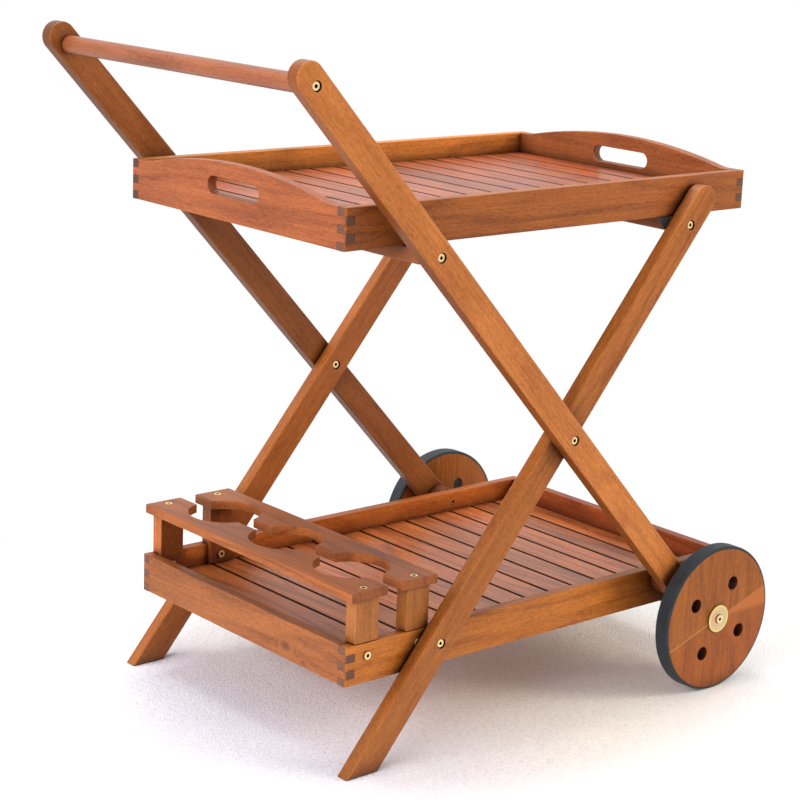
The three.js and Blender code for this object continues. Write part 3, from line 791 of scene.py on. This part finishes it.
def seat_on(node, face, side, grip):
    """A seat in line with a node, on a face that looks sideways."""
    return Vector((middle(node).x, face, middle(node).z)), Vector((0, side, 0)), grip


def bolt_seat(node, side, head_height, trim=0.0):
    """Where a sideways bolt's head is seated, from its node's box, and how far it reaches in."""
    seat = face_at(node, side) - side * head_height
    return seat_on(node, seat, side, abs(seat - face_at(node, -side)) - trim)


leg_bolts = ("pivot_bolt", "handle_bolt", "handle_rail_bolt", "wheel_rail_bolt", "short_leg_tray_bolt",
             "handle_leg_tray_bolt")
bolt_head_height = 0.003
nut_grip = 0.001
sunk_nodes = [f"{sunk}_{label}" for sunk in (*leg_bolts, "pivot_nut") for label, _ in sides]
sunk_seats = []
for label, side in sides:
    nut = f"pivot_nut_{label}"
    for bolt in leg_bolts:
        trim = 2 * half_width(nut) if bolt == "pivot_bolt" else 0.0
        sunk_seats.append(bolt_seat(f"{bolt}_{label}", side, bolt_head_height, trim))
    sunk_seats.append(seat_on(nut, face_at(nut, side), -side, nut_grip))
bolt_set("leg_bolts_brass", sunk_seats, *sunk_nodes)


# The serving tray: four boards finger-jointed and glued at the corners, so that dark end grain
# shows in a chequer. The end boards rise in a shallow arch over a rounded hand slot.
finger_count = 5
board_arris = 0.0012
corner_radius = 0.003
arch_shoulder = 0.033
arch_cove = 0.060
slot_length = 0.103
slot_height = 0.0216
slot_lift = 0.041
overrun = 0.005
board_height = 2 * half_height("top_side_board_near")
lengthwise = (1, 0, 0)


def finger_edge(reach, thickness, first_out):
    """One end of a board, going up: out fingers reach the far face of the board that it meets."""
    step = board_height / finger_count
    points = []
    for index in range(finger_count):
        out = (index % 2 == 0) == first_out
        end = reach if out else reach - thickness - fit_gap
        lift = fit_gap / 2 if out else -fit_gap / 2
        low = 0 if index == 0 else index * step + lift
        high = board_height if index == finger_count - 1 else (index + 1) * step - lift
        points += [(end, low), (end, high)]
    return points


def arch_top(rise, reach):
    """The top edge of an end board from right to left: cove, shallow arch, cove."""
    radius = (reach * reach + rise * rise) / (2 * rise)
    centre = board_height + rise - radius
    cove_height = board_height + arch_cove
    cove_place = math.sqrt((radius + arch_cove) ** 2 - (cove_height - centre) ** 2)
    swing = math.atan2(cove_place, cove_height - centre)
    return (arc((cove_place, cove_height), arch_cove, -quarter, -quarter - swing, 8)
            + arc((0, centre), radius, quarter - swing, quarter + swing, 48)
            + arc((-cove_place, cove_height), arch_cove, swing - quarter, -quarter, 8))


def hand_slot():
    radius = slot_height / 2
    bend = slot_length / 2 - radius
    return (arc((bend, slot_lift), radius, -quarter, quarter, 20)
            + arc((-bend, slot_lift), radius, quarter, 3 * quarter, 20))


def tray_block(low, high):
    """The tray's outer block, with its upright corners rounded."""
    outline = []
    corners = ((high.x, high.y), (low.x, high.y), (low.x, low.y), (high.x, low.y))
    for turn, (x, y) in enumerate(corners):
        inward = Vector((-1 if x == high.x else 1, -1 if y == high.y else 1)) * corner_radius
        start = turn * quarter
        outline += arc((x + inward.x, y + inward.y), corner_radius, start, start + quarter, 5)
    return sawn("block", outline, "z", low.z - overrun, high.z + overrun)


def jointed_board(node, across, tray, arched):
    """A tray board: an eased blank, cut to interlocking fingers and to the tray's outer block."""
    low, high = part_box(node)
    along, _, depth = axes(across)
    reach = (tray[1][along] - tray[0][along]) / 2
    centre = (tray[1][along] + tray[0][along]) / 2
    ends = reach + overrun

    def cut_out(name, outline, over=0.0):
        placed = [(point[0] + centre, point[1] + low.z) for point in outline]
        return sawn(name, placed, across, low[depth] - over, high[depth] + over)

    top = arch_top(high.z - low.z - board_height, reach - arch_shoulder) if arched else []
    outline = [(-ends, 0), (ends, 0), (ends, board_height), *top, (-ends, board_height)]
    blank = cut_out(node + "_wood", outline)
    if arched:
        shaped(blank, cut_out("slot", hand_slot(), overrun))
    eased(blank, board_arris)
    edge = finger_edge(reach, high[depth] - low[depth], across == "y")
    fingers = edge + top + [(-place, lift) for place, lift in reversed(edge)]
    shaped(blank, cut_out("fingers", fingers), "INTERSECT")
    return shaped(blank, tray_block(*tray), "INTERSECT")


def box_of(*names):
    """The corners of the box round some nodes."""
    lows, highs = zip(*(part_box(name) for name in names))
    return Vector(map(min, *lows)), Vector(map(max, *highs))


def tray_boards(level, body, tones, **knots_and_shades):
    """The four boards of one tray, some with knots or painted shade of their own."""
    side_boards = [f"{level}_side_board_{label}" for label, _ in sides]
    end_boards = [f"{level}_end_board_{end}" for end in ("handle", "wheel")]
    tray = box_of(*side_boards, *end_boards)
    inside = 0.8 * (tray[1].y - tray[0].y) / 2
    for node in side_boards + end_boards:
        across, grain = ("y", lengthwise) if node in side_boards else ("x", crosswise)
        piece = jointed_board(node, across, tray, level == "top" and node in end_boards)
        # Painted shade on the boards' narrow edges.
        mark_edges(piece, 0.2, across)
        wooden(piece, grain, body, "board_wood", *tones[node.split("_")[-1]], 0.5, node, darkness=0.9,
               inside=inside, **knots_and_shades.get(node, {}))


top_tones = {
    "near": (tone(183, 104, 46), tone(117, 60, 23)),
    "far": (tone(237, 149, 68), tone(151, 88, 35)),
    "handle": (tone(174, 97, 53), tone(111, 54, 28)),
    "wheel": (tone(179, 104, 57), tone(115, 59, 28)),
}
# Painted shade on the far board's inner face towards the handle end.
tray_boards("top", "top_tray", top_tones, top_side_board_far={"painted_shade": ("X", -0.30, 0.20, 0.50)})


# The slatted floors: fifteen planed slats lie across each tray on two battens, with narrow gaps
# between them. Each slat is cut from another plank, so each has its own tone and grain.
slat_count = 15
slat_gap = 0.0042
slat_arris = 0.0009
slat_thickness = 0.010
batten_width = 0.018


def slat_tree():
    """A row of slats along X on battens under their ends, with a random tone for each slat."""
    inputs = (*one_shape, ("Corner", "Vector"), ("Floor length", "Float"), ("Slat length", "Float"),
              ("Slat count", "Int"), ("Gap", "Float"), ("Slat thickness", "Float"),
              ("Batten width", "Float", batten_width), ("Batten height", "Float"), ("Seed", "Int"),
              ("Wood", "Material"))
    tree, given = new_tree("slatted_floor", "GeometryNodeTree", inputs, one_shape)

    def row(count, start, step):
        feeds = {"Count": count, "Start Location": given["Corner"] + start, "Offset": step}
        return wired(tree, "GeometryNodeMeshLine", feeds, mode="OFFSET")

    def block(*size):
        return wired(tree, "GeometryNodeMeshCube", {"Size": vector(tree, *size)})

    count, gap, long = given["Slat count"], given["Gap"], given["Slat length"]
    width = (given["Floor length"] - (count - 1) * gap) / count
    lift = given["Batten height"] + given["Slat thickness"] * 0.5
    seats = row(count, vector(tree, width * 0.5, long * 0.5, lift), vector(tree, width + gap))
    chance = wired(tree, "FunctionNodeRandomValue", {"Seed": given["Seed"]}, 1, data_type="FLOAT")
    seats = note(seats, "POINT", "slat_tone", chance)
    laid = on_points(seats, block(width, long, given["Slat thickness"]))
    sizes = [given[name] for name in ("Floor length", "Batten width", "Batten height")]
    first = vector(tree, *(size * 0.5 for size in sizes))
    battens = on_points(row(2, first, vector(tree, y=long - given["Batten width"])), block(*sizes))
    return finish_tree(tree, (laid, battens), given["Wood"])


slatted_floor = slat_tree()


def by_chance(number):
    """A random share, always the same for a number."""
    return wired(number.tree, "ShaderNodeTexWhiteNoise", {"W": number}, "Value", noise_dimensions="1D")


def from_elsewhere(place, own, spread):
    """Places moved by a piece's own share, so that it's cut from another stretch of the wood."""
    feeds = {0: spread, "Scale": own}
    return place + wired(own.tree, "ShaderNodeVectorMath", feeds, operation="SCALE")


def slat_wood(name, light, dark):
    """Wood for all the slats of a floor, shifted and toned by each slat's own number."""
    material, surface, place = blank_material(name)
    own = noted(place.tree, "slat_tone")
    grained = from_elsewhere(grain_place(place, name, crosswise), own, (23.0, 1.9, 0.6))
    colour = figured(surface, grained, light, dark, 0.6)
    toned = mixed(own, dyed(colour, (1.32, 1.04, 0.84, 1.0)), dyed(colour, (0.68, 0.57, 0.52, 1.0)))
    feed(surface, {"Base Color": mixed(by_chance(own) * 0.4, toned, colour), "Specular IOR Level": 0.5})
    coated(surface, 0.28)
    return material


def slats(level, body, seed, light, dark):
    node = f"{level}_deck"
    low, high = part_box(node)
    wood = slat_wood(f"{node}_oiled", light, dark)
    sizes = {"Corner": low, "Floor length": high.x - low.x, "Slat length": high.y - low.y,
             "Slat count": slat_count, "Gap": slat_gap, "Slat thickness": slat_thickness,
             "Batten height": high.z - low.z - slat_thickness, "Seed": seed, "Wood": wood}
    piece = grown(linked(f"{level}_slats", bpy.data.meshes.new(node)), slatted_floor, sizes)
    eased(piece, slat_arris, 2)
    mark_cut_ends(piece, crosswise, 0.3)
    # Painted shade on the slats' sides, in the gaps between them.
    mark_faces(piece, "bore", lambda face: 0.85 * abs(face.normal.x))
    finished(piece, body, "slat_wood", wood, node)


slats("top", "top_tray", 4, tone(178, 93, 30), tone(94, 38, 7))


# The lower tray: the same boards and slats, with a level top edge, bolted between the legs.
# Wooden spacers and nylon washers hold it off the legs, and brass inserts take the bolts.
bolt_bore = 0.0033
spacer_ease = 0.0012
nylon_ease = 0.0004
insert_grip = 0.004
lower_tones = {
    "near": (tone(205, 124, 47), tone(133, 68, 19)),
    "far": (tone(204, 114, 49), tone(134, 63, 19)),
    "handle": (tone(168, 99, 47), tone(107, 56, 23)),
    "wheel": (tone(171, 87, 42), tone(109, 47, 21)),
}
board_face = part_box("lower_end_board_handle")[0].x
board_knots = (((board_face, -0.098, 0.127), 0.007), ((board_face, -0.134, 0.116), 0.004))
# Painted shadow of the wheel and handle leg on the near board's wheel end.
tray_boards("lower", "frame", lower_tones, lower_end_board_handle={"knots": board_knots},
            lower_side_board_near={"painted_shade": ("X", 0.33, 0.16, 0.38)})
slats("lower", "frame", 53, tone(223, 134, 61), tone(123, 60, 22))

nylon, surface, place = blank_material("natural_nylon")
colour = mixed(noise(place, scale=120), tone(232, 228, 214), tone(218, 212, 196))
feed(surface, {"Base Color": colour, "Roughness": 0.45, "Subsurface Weight": 0.1, "Subsurface Scale": 0.002})


def ring(node, bore, body, material=nylon, name="nylon", slot="nylon", ease=nylon_ease):
    """A ring turned about a bore, in the place of its node."""
    finished(rod(node, f"{node}_{name}", ease, bore), body, slot, material, node)


insert_seats = []
for label, side in sides:
    ring(f"tray_washer_{label}", bolt_bore, "frame")
    node = f"tray_spacer_{label}"
    spacer = rod(node, f"{node}_wood", spacer_ease, bolt_bore)
    wooden(spacer, crosswise, "frame", "leg_wood", tone(122, 62, 30), tone(78, 38, 18), 0.4, node)
    face = face_at(f"lower_side_board_{label}", -side)
    insert_seats.append(seat_on(f"handle_leg_tray_bolt_{label}", face, -side, insert_grip))
# The inserts are mostly socket, which shows as painted shade.
bolt_set("tray_inserts_brass", insert_seats, ease=0.0002, head_radius=0.0034, head_height=0.0006,
         socket_radius=0.0029, socket_depth=0.0005)


# The bottle rack: two flat bars share three round holes and stand on four shouldered posts.
# A bolt from above holds each bar end, and one from outside, with a nut, holds each post.
bottle_count = 3
bottle_hole_radius = 0.048
bottle_end_land = 0.037
rack_arris = 0.0010
rack_sink = 0.0034
rack_sink_radius = 0.0058
rack_screw_length = 0.03
post_head_height = 0.0024
post_nut_height = 0.0025
rack_tones = (tone(176, 98, 44), tone(112, 58, 22))
post_tones = {
    "near": (tone(188, 118, 56), tone(131, 75, 32)),
    "far": (tone(203, 116, 52), tone(128, 64, 26)),
}
upright = (0, 0, 1)
rack_ends = (("handle", -1), ("wheel", 1))
bar_edges = (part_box("rack_bar_handle")[1].x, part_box("rack_bar_wheel")[0].x)
rack_middle = sum(bar_edges) / 2
rack_gap = bar_edges[1] - bar_edges[0]
bottle_reach = half_width("rack_bar_handle") - bottle_end_land - bottle_hole_radius
bottle_pitch = 2 * bottle_reach / (bottle_count - 1)


def rack_bar_outline(low, high, side):
    """One bar in plan: its inner edge is bitten by the holes, whose centres lie in the gap."""
    inner, outer = (high.x, low.x) if side < 0 else (low.x, high.x)
    facing = math.pi if side < 0 else 0
    half_turn = (quarter - math.asin(rack_gap / 2 / bottle_hole_radius)) * side
    outline = [(outer, low.y), (inner, low.y)]
    for index in range(bottle_count):
        hole = (rack_middle, (index - (bottle_count - 1) / 2) * bottle_pitch)
        outline += arc(hole, bottle_hole_radius, facing - half_turn, facing + half_turn, 40)
    return outline + [(inner, high.y), (outer, high.y)]


screw_seats = []
for end, side in rack_ends:
    node = f"rack_bar_{end}"
    low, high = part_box(node)
    piece = eased(sawn(node + "_wood", rack_bar_outline(low, high, side), "z", low.z, high.z), rack_arris, 2)
    posts = [middle(f"rack_post_{end}_{label}").xy for label, _ in sides]
    for post in posts:
        bored(piece, post, rack_sink_radius, high.z - rack_sink, high.z + rack_sink, "z")
        seat = Vector((post.x, post.y, high.z - rack_sink + fit_gap))
        screw_seats.append((seat, Vector(upright), rack_screw_length))
    # Painted shade in the sinks.
    mark_bores(piece, posts, rack_sink_radius, "z")
    wooden(piece, crosswise, "frame", "rack_wood", *rack_tones, 0.6, node, darkness=0.15)
bolt_set("rack_top_bolts_brass", screw_seats)

post_bolts = []
post_bolt_seats = []
post_nut_seats = []
for end, _ in rack_ends:
    for label, side in sides:
        node = f"rack_post_{end}_{label}"
        low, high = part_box(node)
        inner, outer = face_at(node, -side), face_at(node, side)
        board = f"lower_side_board_{label}"
        lap = face_at(board, -side) - side * fit_gap
        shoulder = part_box(board)[1].z + fit_gap
        outline = [(inner, low.z), (lap, low.z), (lap, shoulder), (outer, shoulder), (outer, high.z),
                   (inner, high.z)]
        piece = eased(sawn(node + "_wood", outline, "x", low.x, high.x), rack_arris, 2)
        # Painted shade on the far posts' side and end faces, where the rack bar shades them.
        mark_edges(piece, 0.9 if label == "far" else 0.0, "x")
        wooden(piece, upright, "frame", "rack_wood", *post_tones[label], 0.35, node)
        bolt = f"rack_post_bolt_{end}_{label}"
        place, outward, grip = bolt_seat(bolt, side, post_head_height, post_nut_height)
        post_bolts.append(bolt)
        post_bolt_seats.append((place, outward, grip))
        post_nut_seats.append((place - outward * grip, -outward, nut_grip))
bolt_set("rack_post_bolts_brass", post_bolt_seats, *post_bolts, ease=0.0009, head_height=post_head_height,
         socket_depth=0.0018)
bolt_set("rack_post_nuts_brass", post_nut_seats, head_radius=0.005, head_height=post_nut_height,
         socket_radius=0.0023, socket_depth=0.0022)


# The wheels: discs glued up from upright staves in two halves that meet on a slanting seam,
# with four round holes, a thin black rubber tyre stretched round them and a nylon bush inside.
disc_arris = 0.0012
disc_hole_radius = 0.0095
disc_hole_count = 4
disc_hole_reach = 0.052
disc_hole_turn = math.radians(60)
disc_steps = 144
seam_angle = math.radians(18)
seam_half = 0.0002
stave_width = 0.043
stave_slide = 0.019
tyre_ease = 0.0030
bush_clearance = 0.0003
hub_head_height = 0.002


def stave_wood(name, centre):
    """The wheel's face: staves of differing tone, a redder lower half and a paler band at the seam."""
    material, surface, place = blank_material(name)
    centred = mapped(place, shift=-centre)
    seam = mapped(centred, (0, seam_angle, 0))
    along, above = part(seam, "X"), part(seam, "Z")
    upper = ranged(above, -seam_half, seam_half)
    staves = (part(centred, "X") + upper * stave_slide) / stave_width
    own = by_chance(maths("FLOOR", staves) + upper * 31.0)
    grained = from_elsewhere(grain_place(centred, name, upright), own, (9.0, 0.7, 0.9))
    colour = figured(surface, grained, tone(175, 100, 25), tone(112, 56, 11), 0.4)
    colour = mixed(own, colour, dyed(colour, (0.93, 0.90, 1.45, 1.0)))
    colour = mixed(upper, dyed(colour, tone(255, 240, 226)), colour)
    glue_line = ranged(maths("ABSOLUTE", maths("FRACT", staves) - 0.5), 0.485, 0.5, 0.0, 0.35)
    colour = mixed(glue_line, colour, tone(96, 52, 28))
    right_half = ranged(along, 0.0, 0.02) * (1.0 - upper)
    wedge = above + along * 0.3
    streak = ranged(wedge, -0.022, -0.002) * right_half
    band = ranged(wedge, -0.002, 0.004) * right_half
    colour = mixed(streak * 0.5, colour, tone(150, 82, 32))
    colour = mixed(band * 0.8, colour, tone(183, 104, 47))
    line = ranged(maths("ABSOLUTE", above), 0.0004, 0.0011, 1.0, 0.0)
    left_half = ranged(along, -0.012, -0.008, 1.0, 0.0)
    colour = mixed(line * left_half * 0.7, colour, tone(201, 140, 75))
    feed(surface, {"Base Color": colour})
    return material


rubber, surface, place = blank_material("black_rubber")
dust = noise(place, detail=3, scale=70)
colour = mixed(ranged(dust, 0.4, 0.7), tone(23, 30, 35), tone(37, 46, 51))
feed(surface, {"Base Color": colour, "Roughness": ranged(dust, 0.35, 0.65, 0.5, 0.68)})
bumped(surface, noise(place, scale=1100), 0.0002, 0.25)

washer_metal, surface, place = blank_material("zinc_brass")
blush = ranged(noise(place, scale=70), 0.35, 0.65)
plate = mixed(blush, tone(222, 196, 150), tone(226, 178, 148))
# Painted highlight: a brighter ring at the washer's rim. Painted shade: a dark ring round the bolt head.
reach = length((place - middle("axle")) * (1, 0, 1))
plate = mixed(ranged(reach, 0.0155, 0.0165), plate, tone(238, 216, 132))
plate = mixed(ranged(reach, 0.0062, 0.0072, 1.0, 0.0), plate, tone(58, 46, 30))
scuffs = noise(place, detail=4, scale=230)
fine_grained(surface, plate, scuffs, (0.32, 0.5), 0.0001, 0.3, metallic=1.0)

hub_seats = []
for label, side in sides:
    node = f"wheel_disc_{label}"
    body = f"wheel_{label}"
    low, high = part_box(node)
    centre = middle(node)
    hub = flat(centre)
    radius = half_height(node)
    disc = sawn(node + "_wood", arc(hub, radius, 0, 2 * math.pi, disc_steps)[:-1], "y", low.y, high.y)
    turns = [disc_hole_turn + 2 * math.pi * index / disc_hole_count for index in range(disc_hole_count)]
    holes = [hub + Vector((math.cos(turn), math.sin(turn))) * disc_hole_reach for turn in turns]
    for hole in holes:
        bored(disc, hole, disc_hole_radius, low.y - overrun, high.y + overrun)
    bored(disc, hub, half_height(f"wheel_bush_{label}") + bush_clearance, low.y - overrun, high.y + overrun)
    eased(disc, disc_arris, 2)
    mark_cut_ends(disc, upright, 0.4)
    # Painted shade inside the holes.
    mark_bores(disc, holes, disc_hole_radius, share=0.55)
    finished(disc, body, "wheel_wood", stave_wood(f"{node}_oiled", centre), node)

    depth = half_width(node)
    corner = (half_height(f"tyre_{label}") - tyre_ease, depth - tyre_ease)
    tread = arc(corner, tyre_ease, 0, quarter, 5)
    mirrored = [(out, -along) for out, along in reversed(tread)]
    inside = radius + fit_gap
    profile = [*mirrored, *tread, (inside, depth), (inside, -depth)]
    tyre = turned(f"tyre_{label}_rubber", profile, centre, disc_steps)
    finished(tyre, body, "tyre_rubber", rubber, f"tyre_{label}")

    ring(f"wheel_bush_{label}", axle_radius + fit_gap, body)
    ring(f"wheel_spacer_{label}", axle_radius + fit_gap, "frame")
    ring(f"hub_washer_{label}", bolt_bore, "frame", washer_metal, "metal", "brass", 0.0005)
    hub_seats.append(bolt_seat(f"hub_bolt_{label}", side, hub_head_height))
bolt_set("hub_bolts_brass", hub_seats, "hub_bolt_near", "hub_bolt_far", ease=0.0008, head_radius=0.006,
         head_height=hub_head_height, socket_depth=0.0015)


# The axle: a drawn steel bar, fixed in the two handle legs, that the hub bolts are screwed into.
# It shows only between the legs, under the lower tray.
axle_ease = 0.0005
steel, surface, place = blank_material("drawn_steel")
drawn = noise(place * (900, 30, 900), detail=3)
colour = mixed(drawn, tone(150, 150, 148), tone(188, 188, 186))
fine_grained(surface, colour, drawn, (0.28, 0.45), 0.0001, 0.2, metallic=1.0)
finished(rod("axle", "axle_bar", axle_ease), "frame", "axle_steel", steel, "axle")
